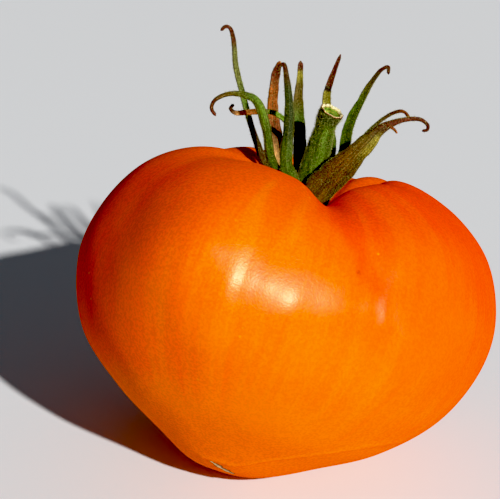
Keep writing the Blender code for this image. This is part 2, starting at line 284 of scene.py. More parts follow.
class Surface:
    """A Principled material in the making."""

    def __init__(self, name: str) -> None:
        """Starts a material.

        Args:
            name: The material's name.
        """
        self.material = bpy.data.materials.new(name)
        self.material.use_nodes = True
        self.tree = self.material.node_tree
        self.shader = self.tree.nodes["Principled BSDF"]

    def join(self, socket: bpy.types.NodeSocket, value: Value) -> None:
        """Links a socket to another, or sets its own value."""
        if isinstance(value, bpy.types.NodeSocket):
            self.tree.links.new(value, socket)
        else:
            socket.default_value = value

    def add(self, kind: str, inputs: dict[str | int, Value], output: str | int = 0,
            **settings: object) -> bpy.types.NodeSocket:
        """Adds a node.

        Args:
            kind: The node's type, without ShaderNode.
            inputs: Values or sockets, by the input's name or number.
            output: The name or number of the output that is wanted.
            **settings: The node's own properties.
        Returns:
            The wanted output.
        """
        node = self.tree.nodes.new(f"ShaderNode{kind}")
        for name, value in settings.items():
            setattr(node, name, value)
        for key, value in inputs.items():
            self.join(node.inputs[key], value)
        return node.outputs[output]

    def place(self) -> bpy.types.NodeSocket:
        """Where a point is on its object, in metres."""
        return self.add("TexCoord", {}, "Object")

    def attribute(self, name: str, output: str = "Vector") -> bpy.types.NodeSocket:
        """A value that the mesh holds on its vertices."""
        return self.add("Attribute", {}, output, attribute_name=name)

    def stretch(self, vector: Value, factors: Triple) -> bpy.types.NodeSocket:
        """A vector with each axis multiplied."""
        return self.add("VectorMath", {0: vector, 1: factors}, operation="MULTIPLY")

    def noise(self, vector: Value, scale: float, detail: float = 2.0,
              roughness: float = 0.5) -> bpy.types.NodeSocket:
        """Cloudy values between 0 and 1.

        Args:
            vector: Where to read the pattern.
            scale: How many cells there are to one unit.
            detail: How many finer layers there are.
            roughness: How strong the finer layers are.
        Returns:
            The value.
        """
        return self.add("TexNoise", {
            "Vector": vector, "Scale": scale, "Detail": detail, "Roughness": roughness,
        })

    def ramp(self, value: Value, low: float, high: float, to_low: float = 0.0,
             to_high: float = 1.0) -> bpy.types.NodeSocket:
        """A value carried from one range to another, smoothly and within it.

        Args:
            value: The value to read.
            low: Where the first range starts.
            high: Where the first range ends.
            to_low: What low becomes.
            to_high: What high becomes.
        Returns:
            The carried value.
        """
        return self.add("MapRange", {
            "Value": value, "From Min": low, "From Max": high, "To Min": to_low, "To Max": to_high,
        }, interpolation_type="SMOOTHSTEP")

    def work(self, operation: str, first: Value, second: Value = 0.0) -> bpy.types.NodeSocket:
        """The result of a sum on one or two numbers."""
        return self.add("Math", {0: first, 1: second}, operation=operation)

    def mix(self, share: Value, first: Value, second: Value,
            blend: str = "MIX") -> bpy.types.NodeSocket:
        """One colour laid over another.

        Args:
            share: How much of the second shows.
            first: The colour below.
            second: The colour above.
            blend: How they blend.
        Returns:
            The mixed colour.
        """
        first, second = ((*c, 1.0) if isinstance(c, tuple) else c for c in (first, second))
        return self.add("Mix", {0: share, 6: first, 7: second}, 2, data_type="RGBA", blend_type=blend)

    def shade(self, colour: Value, light: Value) -> bpy.types.NodeSocket:
        """A colour made darker or lighter by a factor."""
        grey = self.add("CombineColor", {0: light, 1: light, 2: light})
        return self.mix(1.0, colour, grey, "MULTIPLY")

    def bump(self, height: Value, depth: float, below: Value | None = None) -> bpy.types.NodeSocket:
        """A fine relief.

        Args:
            height: Values from 0 to 1.
            depth: How many metres 1 stands above 0.
            below: The relief that this one lies on, if there is one.
        Returns:
            The normal.
        """
        inputs = {"Height": height, "Distance": depth, "Strength": 1.0}
        if below is not None:
            inputs["Normal"] = below
        return self.add("Bump", inputs)

    def finish(self, **values: Value) -> bpy.types.Material:
        """Sets the shader's inputs.

        Args:
            **values: Values or sockets, by the input's name with underscores for spaces.
        Returns:
            The material.
        """
        for name, value in values.items():
            if isinstance(value, tuple) and name in ("Base_Color", "Sheen_Tint", "Specular_Tint"):
                value = (*value, 1.0)
            self.join(self.shader.inputs[name.replace("_", " ")], value)
        return self.material


@dataclass(frozen=True)
class SkinFinish:
    """Thin, waxy tomato skin over wet flesh, streaked from the stem to the tip."""

    golden: Colour = (0.86, 0.168, 0.001)
    orange: Colour = (0.85, 0.120, 0.001)
    blood: Colour = (0.82, 0.078, 0.001)
    speck: Colour = (0.95, 0.46, 0.06)
    mark: Colour = (0.42, 0.05, 0.01)
    unripe: Colour = (0.50, 0.30, 0.03)
    # The mark is solid within the first radius and gone past the second, in metres.
    mark_place: Triple = (13.9, -37.1, 52.6)
    mark_radii: Pair = (0.0007, 0.0013)
    mark_raggedness: float = 0.0011
    mark_share: float = 0.9
    # Streaks run from stem to tip. Their noise has this many cells to the fruit's radius, twice,
    # and along it.
    broad_streaks: Triple = (9.0, 9.0, 1.6)
    fine_streaks: Triple = (42.0, 42.0, 3.5)
    # How far broad streaks, fine streaks and clouds change the ripeness between their extremes.
    shifts: Triple = (0.6, 0.44, 0.5)
    # Grain and peel are sizes in millimetres, cells are counted in a metre. Specks are dots in
    # some of their cells: the radii are parts of a cell, and the choice says which have one.
    grain: float = 0.42
    peel: float = 0.6
    peel_light: Span = (0.88, 1.08)
    cloud_cells: float = 75.0
    speck_cells: float = 210.0
    speck_radii: Span = (0.035, 0.085)
    speck_choice: Span = (0.62, 0.70)
    speck_share: float = 0.3
    grain_speck: float = 0.34
    pucker_cells: float = 620.0
    pore_cells: float = 5200.0
    # How deep pucker, grain and pores are, in metres.
    relief: Triple = (0.00002, 0.000026, 0.000005)
    roughness: Span = (0.26, 0.35)
    # The gloss fades from face on to edge on, between two values of the layer weight.
    gloss: float = 0.25
    edge_gloss: float = 0.0
    gloss_fade: Span = (0.15, 0.6)
    gloss_tint: Colour = (1.0, 1.0, 0.72)
    refraction: float = 1.46
    # Light gets this far into the flesh, in metres, and red, green and blue this part of it.
    flesh_share: float = 0.18
    flesh_depth: float = 0.003
    flesh_reach: Triple = (1.0, 0.28, 0.05)

    def material(self, spine: Spine) -> bpy.types.Material:
        """Makes the material.

        Args:
            spine: The fruit's frame, which places the one reddish mark.
        Returns:
            The material.
        """
        made = Surface("tomato_skin")
        place = made.place()
        meridian = made.attribute("meridian")
        # This attribute carries the ripeness, and also the painted shade of the left side and of the cleft's
        # crease.
        ripe = made.attribute("ripe", "Fac")
        broad = made.noise(made.stretch(meridian, self.broad_streaks), 1.0, 3.0, 0.55)
        fine = made.noise(made.stretch(meridian, self.fine_streaks), 1.0, 3.0, 0.6)
        cloud = made.noise(place, self.cloud_cells, 4.0, 0.6)
        grain = made.noise(place, 1.0 / (self.grain * MM), 2.0, 0.6)
        for pattern, reach in zip((broad, fine, cloud), self.shifts):
            shift = made.work("MULTIPLY_ADD", pattern, reach)
            shift.node.inputs[2].default_value = -reach / 2
            ripe = made.work("ADD", ripe, shift)
        colour = made.mix(made.ramp(ripe, 0.0, 0.5), self.golden, self.orange)
        colour = made.mix(made.ramp(ripe, 0.5, 1.0), colour, self.blood)
        sandy = made.ramp(grain, 0.30, 0.75, 0.0, self.grain_speck)
        colour = made.mix(sandy, colour, self.speck, "SOFT_LIGHT")
        peel = made.noise(place, 1.0 / (self.peel * MM), 1.0)
        colour = made.shade(colour, made.ramp(peel, 0.34, 0.66, *self.peel_light))

        cells = made.add("TexVoronoi", {"Vector": place, "Scale": self.speck_cells}, "Distance")
        chosen = made.add("SeparateColor", {0: cells.node.outputs["Color"]})
        dot = made.work("MULTIPLY", made.ramp(cells, *self.speck_radii, 1.0, 0.0),
                        made.ramp(chosen, *self.speck_choice))
        colour = made.mix(made.work("MULTIPLY", dot, self.speck_share), colour, self.speck)

        spot = tuple(spine.place(np.array(self.mark_place)))
        ragged = made.add("VectorMath", {0: place, 1: spot}, "Value", operation="DISTANCE")
        ragged = made.work("ADD", ragged, made.work("MULTIPLY", grain, self.mark_raggedness))
        colour = made.mix(made.ramp(ragged, *self.mark_radii, self.mark_share, 0.0), colour, self.mark)
        colour = made.mix(made.attribute("pit", "Fac"), colour, self.unripe)

        relief = None
        pucker = made.noise(place, self.pucker_cells, 3.0, 0.6)
        pores = made.noise(place, self.pore_cells, 1.0)
        for height, depth in zip((pucker, grain, pores), self.relief):
            relief = made.bump(height, depth, relief)
        facing = made.add("LayerWeight", {"Blend": 0.5}, "Facing")
        return made.finish(
            Base_Color=colour, Roughness=made.ramp(cloud, 0.3, 0.7, *self.roughness),
            IOR=self.refraction,
            Specular_IOR_Level=made.ramp(facing, *self.gloss_fade, self.gloss, self.edge_gloss),
            Specular_Tint=self.gloss_tint, Subsurface_Weight=self.flesh_share,
            Subsurface_Radius=self.flesh_reach, Subsurface_Scale=self.flesh_depth, Normal=relief,
        )


@dataclass(frozen=True)
class LeafFinish:
    """Soft green tissue, grainy with short glandular hairs, over its painted tones."""

    name: str
    grain: float = 0.34
    contrast: float = 1.0
    vein_share: float = 0.10
    gloss: float = 0.22
    sheen: float = 0.08
    # Cells of the streaks' noise across half a blade, along it and through half its thickness.
    streaks: Triple = (7.0, 5.0, 0.7)
    # How dark and how light the grain, the blotches and the streaks make the tissue.
    grain_light: Span = (-0.62, 0.72)
    blotch_light: Span = (0.8, 1.2)
    streak_light: Span = (0.55, 1.45)
    # Cells are counted in a metre, depths of the relief are in metres.
    blotch_cells: float = 420.0
    speck_cells: float = 2900.0
    blotch_depth: float = 0.00012
    grain_depth: float = 0.00010
    speck: Colour = (0.42, 0.42, 0.14)
    speck_share: float = 0.42
    vein: Colour = (0.03, 0.025, 0.006)
    margin: Colour = (0.055, 0.035, 0.008)
    roughness: float = 0.72
    sheen_roughness: float = 0.4
    sheen_tint: Colour = (0.8, 0.9, 0.4)
    # Light gets this far into the tissue, in metres, and red, green and blue this part of it.
    sap_share: float = 0.08
    sap_depth: float = 0.0006
    sap_reach: Triple = (0.5, 1.0, 0.2)

    def material(self) -> bpy.types.Material:
        """Makes the material from the mesh's tone and blade attributes."""
        made = Surface(self.name)
        place = made.place()
        blade = made.attribute("blade")
        grain = made.noise(place, 1.0 / (self.grain * MM), 3.0, 0.65)
        blotch = made.noise(place, self.blotch_cells, 3.0, 0.6)
        streak = made.noise(made.stretch(blade, self.streaks), 1.0, 3.0, 0.6)
        speck = made.noise(place, self.speck_cells, 1.0)
        light = made.ramp(grain, 0.28, 0.74, *(1.0 + self.contrast * part for part in self.grain_light))
        light = made.work("MULTIPLY", light, made.ramp(blotch, 0.3, 0.72, *self.blotch_light))
        light = made.work("MULTIPLY", light, made.ramp(streak, 0.32, 0.68, *self.streak_light))
        colour = made.shade(made.attribute("tone", "Color"), light)
        colour = made.mix(made.ramp(speck, 0.60, 0.74, 0.0, self.speck_share), colour, self.speck)
        across = made.work("ABSOLUTE", made.add("SeparateXYZ", {0: blade}))
        colour = made.mix(made.ramp(across, 0.02, self.vein_share, 0.6, 0.0), colour, self.vein)
        colour = made.mix(made.ramp(across, 0.80, 0.97, 0.0, 0.5), colour, self.margin)
        relief = made.bump(grain, self.grain_depth, made.bump(blotch, self.blotch_depth))
        return made.finish(
            Base_Color=colour, Roughness=self.roughness, Specular_IOR_Level=self.gloss,
            Subsurface_Weight=self.sap_share, Subsurface_Radius=self.sap_reach,
            Subsurface_Scale=self.sap_depth, Sheen_Weight=self.sheen,
            Sheen_Roughness=self.sheen_roughness, Sheen_Tint=self.sheen_tint, Normal=relief,
        )


@dataclass(frozen=True)
class HairFinish:
    """Pale hairs, duller in patches."""

    colour: Colour = (0.42, 0.46, 0.15)
    dull: Colour = (0.26, 0.24, 0.07)
    patch_cells: float = 900.0
    roughness: float = 0.45

    def material(self) -> bpy.types.Material:
        """Makes the material."""
        made = Surface("glandular_hair")
        tint = made.noise(made.place(), self.patch_cells, 1.0)
        colour = made.mix(made.ramp(tint, 0.35, 0.65), self.colour, self.dull)
        return made.finish(Base_Color=colour, Roughness=self.roughness)


@dataclass(frozen=True)
class ScarFinish:
    """Dry cork with dark cracks."""

    crack: Colour = (0.03, 0.012, 0.006)
    crack_cells: float = 1300.0
    grain_cells: float = 2600.0
    grain_depth: float = 0.00012
    pale_share: float = 0.6
    roughness: float = 0.85

    def material(self) -> bpy.types.Material:
        """Makes the material from the mesh's tone attribute."""
        made = Surface("scar_cork")
        place = made.place()
        grain = made.noise(place, self.grain_cells, 3.0, 0.7)
        cracks = made.noise(place, self.crack_cells, 2.0, 0.6)
        colour = made.mix(made.ramp(cracks, 0.40, 0.30), made.attribute("tone", "Color"), self.crack)
        colour = made.mix(made.ramp(grain, 0.55, 0.75, 0.0, self.pale_share), colour, Tone.CREAM.value)
        relief = made.bump(grain, self.grain_depth)
        return made.finish(Base_Color=colour, Roughness=self.roughness, Normal=relief)


@dataclass(frozen=True)
class FloorFinish:
    """A plain pale table top."""

    colour: Colour = (0.81, 0.84, 0.89)
    roughness: float = 0.6

    def material(self) -> bpy.types.Material:
        """Makes the material."""
        made = Surface("plain_floor")
        return made.finish(Base_Color=self.colour, Roughness=self.roughness)


@dataclass(frozen=True)
class BlushAndShade:
    """A long patch of redder skin, or of paler skin where its strength is below 0. Some are painted shade.

    Its azimuth may be counted from the cleft, and may drift on the way to the pit. It shows where
    the share of the way is through all of its spans.
    """

    strength: float
    azimuth: float
    half_width: float
    spans: tuple[Span, ...]
    drift: float = 0.0
    from_cleft: bool = False


@dataclass
class Fruit:
    """The lobed berry: one smooth closed skin with its furrows, creases and low ridge."""

    segments: int = 376
    rings: int = 256
    front: float = 270.0
    crowding: float = 26.0
    # Each side is (azimuth, profile), and a profile is (radius, height) from the tip to the pit.
    sides: tuple = (
        (0.0, ((0.0, 0.0), (9.0, 1.4), (20.5, 7.3), (33.0, 15.0), (43.7, 26.2), (49.3, 40.0),
               (49.0, 53.0), (42.6, 65.2), (31.0, 73.2), (17.5, 75.6), (8.5, 67.0), (0.0, 61.5))),
        (90.0, ((0.0, 0.0), (9.0, 1.6), (20.0, 6.2), (31.0, 15.3), (38.5, 27.0), (41.0, 40.0),
                (39.5, 54.5), (34.0, 66.5), (25.0, 77.2), (15.5, 74.8), (8.0, 65.8), (0.0, 61.5))),
        (180.0, ((0.0, 0.0), (8.0, 0.8), (17.0, 5.4), (28.6, 12.0), (40.2, 22.0), (46.0, 37.0),
                 (44.5, 50.0), (38.5, 61.5), (28.5, 68.8), (17.0, 70.4), (8.0, 65.3), (0.0, 61.5))),
        (270.0, ((0.0, 0.0), (8.0, 1.5), (18.0, 7.4), (29.0, 15.2), (37.2, 26.0), (40.4, 38.0),
                 (40.2, 50.0), (36.6, 60.2), (26.0, 66.2), (15.0, 68.0), (7.5, 64.2), (0.0, 61.5))),
    )
    # Each furrow is (azimuth, depth, half width in degrees).
    furrows: tuple = (
        (-78.0, 4.0, 14.0), (-150.0, 1.5, 14.0), (160.0, 1.2, 16.0),
        (112.0, 2.5, 15.0), (68.0, 3.4, 15.0), (22.0, 2.4, 16.0), (-20.0, 0.9, 13.0),
    )
    furrow_span: Span = (0.36, 0.70)
    fade_span: Span = (0.86, 1.0)
    fade: float = 0.55
    shoulder_span: Span = (0.55, 0.80)
    # Each low swelling of the front is (height, azimuth, left and right half width, share, span).
    # These and the finer ones were fitted to where the sheen lies in the photo.
    swellings: tuple = (
        (6.23, -116.8, 21.4, 10.1, 0.491, 0.134), (1.81, -102.4, 22.1, 8.5, 0.564, 0.065),
        (4.59, -103.1, 9.7, 14.6, 0.421, 0.107), (2.04, -81.7, 12.6, 14.6, 0.509, 0.182),
        (-1.27, -63.1, 5.9, 4.5, 0.618, 0.118), (1.30, -135.8, 18.2, 25.1, 0.246, 0.155),
        (2.00, -45.7, 12.4, 13.1, 0.449, 0.070),
    )
    # Finer swellings of the same kind, under 1 mm, that give the sheen its shape.
    touches: tuple = (
        (0.358, -110.1, 12.5, 11.4, 0.596, 0.12), (0.354, -101.2, 10.4, 5.6, 0.498, 0.04),
        (0.247, -95.7, 7.2, 4.0, 0.5, 0.034), (-0.412, -98.9, 4.3, 5.2, 0.547, 0.161),
        (0.195, -91.4, 8.9, 6.6, 0.46, 0.057), (0.196, -87.1, 4.6, 4.2, 0.487, 0.049),
        (-0.444, -109.8, 6.0, 10.9, 0.507, 0.055), (-0.301, -75.5, 13.3, 10.0, 0.505, 0.044),
        (0.257, -89.9, 5.9, 14.0, 0.592, 0.139), (0.38, -63.0, 4.7, 8.1, 0.513, 0.044),
        (0.456, -61.2, 5.5, 2.7, 0.536, 0.034), (-0.431, -55.3, 15.7, 14.5, 0.513, 0.198),
        (0.439, -73.5, 14.8, 10.5, 0.516, 0.144), (-0.398, -56.5, 5.8, 14.3, 0.569, 0.093),
        (-0.346, -61.5, 14.3, 15.7, 0.487, 0.126), (-0.081, -70.8, 10.1, 12.6, 0.401, 0.165),
        (0.244, -66.3, 14.0, 10.3, 0.498, 0.029), (0.244, -58.7, 1.9, 3.7, 0.496, 0.047),
    )
    furrow_radius: float = 30.0
    pit_radius: float = 8.0
    # The cleft's own crease: its azimuth below, where and how far it swings over, and its size.
    cleft_low: float = -56.0
    cleft_swing: float = -18.0
    cleft_swing_span: Span = (0.45, 0.70)
    cleft_depth: float = 0.3
    cleft_half_widths: Pair = (6.0, 3.5)
    cleft_spans: tuple[Span, Span] = ((0.40, 0.48), (0.90, 0.84))
    # A sharp, fine crease left of the cleft, and a soft dent above the sheen.
    crease_azimuth: float = -101.2
    crease_depth: float = 0.086
    crease_half_widths: Pair = (2.5, 2.2)
    crease_edge: float = 1.2
    crease_spans: tuple[Span, Span] = ((0.41, 0.47), (0.60, 0.54))
    dent_azimuth: float = -90.0
    dent_depth: float = 0.10
    dent_half_width: float = 3.0
    dent_spans: tuple[Span, Span] = ((0.56, 0.61), (0.74, 0.68))
    # The low ridge of the underside, which climbs to the right between two azimuths.
    ridge_height: float = 0.25
    ridge_half_width: float = 0.0075
    ridge_share: float = 0.124
    ridge_climb: float = 0.19
    ridge_climb_span: Span = (-85.0, -20.0)
    ridge_spans: tuple[Span, Span] = ((-126.0, -116.0), (-12.0, -26.0))
    # Dimples are the sum of two products of waves, each product with its strength before it.
    dimple_depth: float = 0.045
    dimple_waves: tuple = (
        (1.0, (9, 21, 0.0), (4, -34, 1.3)),
        (0.7, (17, 9, 0.6), (3, 47, 0.0)),
    )
    dimple_spans: tuple[Span, Span] = ((0.0, 0.2), (0.95, 0.80))
    # How far aside, in degrees, and onward, as a share, the skin's direction is measured.
    probe: Pair = (0.05, 0.0005)
    # The ripeness from 0 to 1: even below, more on the shoulders, less underneath. Two of the patches below
    # are painted shade.
    ripe_even: float = 0.22
    ripe_shoulders: float = 0.28
    ripe_shoulder_span: Span = (0.52, 0.77)
    ripe_under: float = -0.42
    ripe_under_span: Span = (0.36, 0.21)
    blushes_and_shade: tuple[BlushAndShade, ...] = (
        BlushAndShade(0.34, 0.0, 17.0, ((0.38, 0.58),), from_cleft=True),
        BlushAndShade(0.22, -25.0, 40.0, ((0.38, 0.68),)),
        # Painted shade: the left side, turned from the key light, is painted redder and darker.
        BlushAndShade(0.60, -160.0, 40.0, ((0.22, 0.42), (0.78, 0.58))),
        BlushAndShade(0.42, -14.0, 28.0, ((0.35, 0.50),)),
        # Painted shade: a narrow redder, darker line down the cleft's crease.
        BlushAndShade(0.26, -2.5, 4.5, ((0.49, 0.56),), from_cleft=True),
        BlushAndShade(-0.34, -91.8, 2.6, ((0.47, 0.53), (0.74, 0.68)), drift=-22.0),
        BlushAndShade(-0.22, -91.7, 2.2, ((0.56, 0.60), (0.47, 0.53), (0.74, 0.68))),
    )
    # Paler patches, set down like the swellings.
    pale_patches: tuple = ((-0.14, -118.0, 26.0, 26.0, 0.48, 0.12),)
    pit_paleness: float = 0.85
    pit_span: Span = (0.93, 0.98)

    @staticmethod
    def _mounds(mounds: tuple, azimuths: Array, shares: Array) -> Array:
        """The height of a set of low swellings, each with its own left and right half width."""
        total = np.zeros_like(shares)
        for height, centre, left, right, share, span in mounds:
            turned = apart(azimuths, centre)
            across = turned / np.where(turned < 0, left, right)
            total = total + height * swell(across) * swell((shares - share) / span)
        return total

    def outline(self, azimuths: Array, shares: Array) -> Array:
        """The bare skin, as the construction has it.

        Args:
            azimuths: Azimuths in degrees.
            shares: Shares of the way from the tip to the pit, of the same shape.
        Returns:
            Points in the fruit's frame.
        """
        reach = np.zeros(azimuths.shape + (2,))
        for centre, points in self.sides:
            tip, pit = points[1], points[-2]
            curve = np.array([(-tip[0], tip[1]), *points, (-pit[0], pit[1])])
            turn = apart(azimuths, centre)
            weight = np.where(np.abs(turn) < FULL_TURN / 4, np.cos(np.radians(turn)) ** 2, 0.0)
            reach += weight[..., None] * catmull_rom(curve, shares)
        radius, height = reach[..., 0], reach[..., 1]
        over = through(shares, self.shoulder_span)
        grown = through(shares, self.furrow_span)
        grown = grown * (1 - self.fade * through(shares, self.fade_span))
        outer = np.minimum(radius / self.furrow_radius, 1.0)
        inner = np.minimum(radius / self.pit_radius, 1.0)
        cut = sum(
            depth * swell(apart(azimuths, centre) / half) for centre, depth, half in self.furrows
        )
        cut = cut * grown - self._mounds(self.swellings, azimuths, shares)
        radius = radius - cut * (1 - over) * outer
        height = height - cut * over * inner
        angle = np.radians(azimuths)
        return np.stack([radius * np.cos(angle), radius * np.sin(angle), height], -1)

    def cleft(self, shares: Array) -> Array:
        """The azimuth of the deep front cleft at each share of the way to the pit."""
        return self.cleft_low + self.cleft_swing * through(shares, self.cleft_swing_span)

    def relief(self, azimuths: Array, shares: Array) -> Array:
        """How far the finished skin stands above the bare one.

        Args:
            azimuths: Azimuths in degrees.
            shares: Shares of the way from the tip to the pit.
        Returns:
            Heights along the normal.
        """
        turned = apart(azimuths, self.cleft(shares))
        across = turned / np.where(turned < 0, *self.cleft_half_widths)
        rise = -self.cleft_depth * swell(across) * through(shares, *self.cleft_spans)
        turned = apart(azimuths, self.crease_azimuth)
        across = np.abs(turned) / np.where(turned < 0, *self.crease_half_widths)
        groove = np.clip(1.0 - across, 0.0, 1.0) ** self.crease_edge
        rise -= self.crease_depth * groove * through(shares, *self.crease_spans)
        dent = swell(apart(azimuths, self.dent_azimuth) / self.dent_half_width)
        rise -= self.dent_depth * dent * through(shares, *self.dent_spans)
        rise += self._mounds(self.touches, azimuths, shares)

        turned = apart(azimuths, 0.0)
        line = self.ridge_share + self.ridge_climb * through(turned, self.ridge_climb_span)
        ridge = swell((shares - line) / self.ridge_half_width)
        rise += self.ridge_height * ridge * through(turned, *self.ridge_spans)

        angle = np.radians(azimuths)
        for strength, *waves in self.dimple_waves:
            height = self.dimple_depth * strength * ripples(angle, shares, waves)
            rise += height * through(shares, *self.dimple_spans)
        return rise

    def surface(self, azimuths: Array, shares: Array) -> Array:
        """The finished skin with its relief, on a grid.

        Args:
            azimuths: Azimuths in degrees, as (rings, points round).
            shares: Shares of the way from the tip to the pit, of the same shape.
        Returns:
            Points in the fruit's frame.
        """
        turn, step = self.probe
        bare = self.outline(azimuths, shares)
        aside = self.outline(azimuths + turn, shares) - bare
        onward = self.outline(azimuths, shares + step) - bare
        normals = unit(np.cross(aside, onward))
        return bare + normals * self.relief(azimuths, shares)[..., None]

    def grid(self) -> tuple[Array, Array]:
        """Azimuths and shares, with more segments towards the front."""
        places = np.arange(self.segments) / self.segments
        around = self.front + FULL_TURN * places - self.crowding * np.sin(2 * math.pi * places)
        shares = np.arange(1, self.rings) / self.rings
        return np.meshgrid(around % FULL_TURN, shares)

    def ripeness(self, azimuths: Array, shares: Array) -> Array:
        """How red the skin is, from 0 to 1: most on the shoulders and beside the cleft, with painted shade
        on the left side and down the cleft's crease.
        """
        ripe = self.ripe_even + self.ripe_shoulders * through(shares, self.ripe_shoulder_span)
        ripe += self.ripe_under * through(shares, self.ripe_under_span)
        cleft = self.cleft(shares)
        for patch in self.blushes_and_shade:
            centre = patch.azimuth + patch.drift * shares + patch.from_cleft * cleft
            across = apart(azimuths, centre) / patch.half_width
            ripe += patch.strength * swell(across) * through(shares, *patch.spans)
        return ripe + self._mounds(self.pale_patches, azimuths, shares)

    def build(self, spine: Spine, finish: SkinFinish) -> bpy.types.Object:
        """Makes the fruit and settles the spine's frame.

        Args:
            spine: The fruit's frame.
            finish: The skin's finish.
        Returns:
            The object.
        """
        azimuths, shares = self.grid()
        spine.settle(self.outline(azimuths, shares))
        rings = self.surface(azimuths, shares)
        angle = np.radians(azimuths)
        profile = self.sides[0][1]
        tip, pit = (np.array([0.0, 0.0, height]) for _, height in (profile[0], profile[-1]))
        shell = Shell()
        shell.add(
            rings, tip, pit,
            meridian=np.stack([np.cos(angle), np.sin(angle), shares], -1),
            ripe=self.ripeness(azimuths, shares)[..., None],
            pit=(self.pit_paleness * through(shares, self.pit_span))[..., None],
        )
        made = shell.build("fruit_skin", spine, 0.0)
        made.data.materials.append(finish.material(spine))
        return made


@dataclass
class BlossomScar:
    """The small corky scar beside the blossom tip, lying on the skin."""

    start: Pair = (-4.0, -11.0)
    end: Pair = (2.9, -6.6)
    half_width: float = 0.75
    bluntness: float = 0.04
    fullness: float = 0.6
    rise: float = 0.12
    sink: float = 0.35
    roughness: float = 0.06
    # Its edge waves are (depth, radians along, phase).
    edge_waves: tuple = ((0.28, 19, 0.0), (0.16, 43, 1.0))
    stations: int = 40
    around: int = 20
    # Its place on the skin is looked up among this many shares, up to the last.
    tries: int = 90
    last_share: float = 0.25
    probe: Pair = (0.5, 0.002)
    tones: tuple = (
        (0.0, Tone.CREAM), (0.5, Tone.TAN), (0.72, Tone.RUST), (0.86, Tone.CHAR), (1.0, Tone.CHAR),
    )
    seed: int = 11

    def build(self, spine: Spine, fruit: Fruit, finish: ScarFinish) -> bpy.types.Object:
        """Makes the scar.

        Args:
            spine: The fruit's frame.
            fruit: The fruit whose skin it follows.
            finish: The scar's finish.
        Returns:
            The object.
        """
        rng = np.random.default_rng(self.seed)
        along = np.linspace(0.0, 1.0, self.stations)[:, None]
        across, face = np.cos(turns(self.around)), np.sin(turns(self.around))
        start, end = np.array(self.start), np.array(self.end)
        side = unit(np.array([start[1] - end[1], end[0] - start[0]]))
        arch = math.pi * (self.bluntness + (1 - 2 * self.bluntness) * along)
        width = self.half_width * np.sin(arch) ** self.fullness
        waves = sum(depth * np.sin(n * along + phase) for depth, n, phase in self.edge_waves)
        width = width * (1.0 + waves)
        flat = start + (end - start) * along[..., None] + side * (width * across)[..., None]
        azimuths = np.degrees(np.arctan2(flat[..., 1], flat[..., 0])) % FULL_TURN
        reach = np.hypot(flat[..., 0], flat[..., 1])

        tries = np.linspace(0.0, self.last_share, self.tries)
        shares = np.empty_like(reach)
        for index in np.ndindex(reach.shape):
            points = fruit.outline(np.full_like(tries, azimuths[index]), tries)
            shares[index] = np.interp(reach[index], np.hypot(points[:, 0], points[:, 1]), tries)
        bare = fruit.outline(azimuths, shares)
        turn, step = self.probe
        aside = fruit.outline(azimuths + turn, shares) - bare
        normal = np.cross(aside, fruit.outline(azimuths, shares + step) - bare)
        rough = rng.uniform(-self.roughness, self.roughness, reach.shape)
        lift = np.where(face > 0, self.rise + rough, -self.sink) * np.abs(face) ** 0.5
        rings = bare + unit(normal) * lift[..., None]
        tone = blend_tones(self.tones, np.abs(across) * np.ones_like(along))
        shell = Shell()
        shell.add(rings, rings[0].mean(0), rings[-1].mean(0), tone=tone)
        made = shell.build("blossom_scar", spine)
        made.data.materials.append(finish.material())
        return made


@dataclass(frozen=True)
class Sepal:
    """One sepal: the azimuth its outer face looks to, its route from the pit floor and its tones.

    A route's points are (right, back, up, blade width). A tone's place is its share of the route.
    The far edge may have tones of its own. A rib below 0 is a groove.
    """

    name: str
    outer_face: float
    route: Route
    tones: tuple[tuple[float, Tone], ...]
    far_tones: tuple[tuple[float, Tone], ...] = ()
    rib: float = 0.14
    thickness: Pair = (1.1, 0.65)


